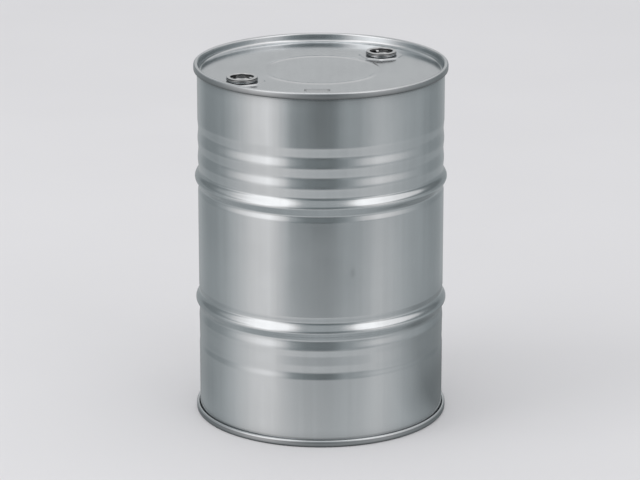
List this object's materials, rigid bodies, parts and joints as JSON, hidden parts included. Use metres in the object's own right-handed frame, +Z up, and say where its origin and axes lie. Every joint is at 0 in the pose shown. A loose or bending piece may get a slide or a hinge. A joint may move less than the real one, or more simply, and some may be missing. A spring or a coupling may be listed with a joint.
{
  "type": "tight-head steel drum",
  "caption": "Cylindrical steel storage drum with rolling hoops, rolled chimes, a recessed top head and screw-in bung closures.",
  "frame": {"origin": "middle of the base on the floor, on the drum's axis", "axes": "+Z up along the drum's axis, -Y towards the front, +X to the right as seen from the front"},
  "size_m": [0.5899, 0.5898, 0.84],
  "materials": {
    "body_steel": "bare satin galvanised sheet, cool grey, with soft reflections",
    "head_steel": "bare satin galvanised sheet, cool grey, smooth",
    "flange_steel": "zinc plated, satin",
    "plug_steel": "zinc plated, satin",
    "gasket": "black sealing rubber",
    "compound": "dark grey seam sealing compound"
  },
  "bodies": {
    "drum": {"body_shell": "body_steel", "top_head": "head_steel", "bottom_head": "head_steel", "top_seam_compound": "compound", "bottom_seam_compound": "compound", "front_flange": "flange_steel", "front_flange_gasket": "gasket", "rear_flange": "flange_steel", "rear_flange_gasket": "gasket"},
    "front_gasket": {"front_plug_gasket": "gasket"},
    "front_bung": {"front_plug": "plug_steel"},
    "rear_gasket": {"rear_plug_gasket": "gasket"},
    "rear_bung": {"rear_plug": "plug_steel"}
  },
  "joints": [
    {"name": "front_plug_rise", "type": "slide", "parent": "drum", "child": "front_gasket", "axis": [0, 0, 1], "range_m": [0, 0.0116]},
    {"name": "front_plug_turn", "type": "hinge", "parent": "front_gasket", "child": "front_bung", "pos_m": [-0.17971, -0.10755, 0.83], "axis": [0, 0, 1], "range_deg": [0, 1800]},
    {"name": "rear_plug_rise", "type": "slide", "parent": "drum", "child": "rear_gasket", "axis": [0, 0, 1], "range_m": [0, 0.0116]},
    {"name": "rear_plug_turn", "type": "hinge", "parent": "rear_gasket", "child": "rear_bung", "pos_m": [0.14208, 0.14307, 0.83], "axis": [0, 0, 1], "range_deg": [0, 1800]}
  ],
  "couplings": [
    {"joint": "front_plug_rise", "follows": "front_plug_turn", "m_per_rad": 0.0003675},
    {"joint": "rear_plug_rise", "follows": "rear_plug_turn", "m_per_rad": 0.0003675}
  ]
}
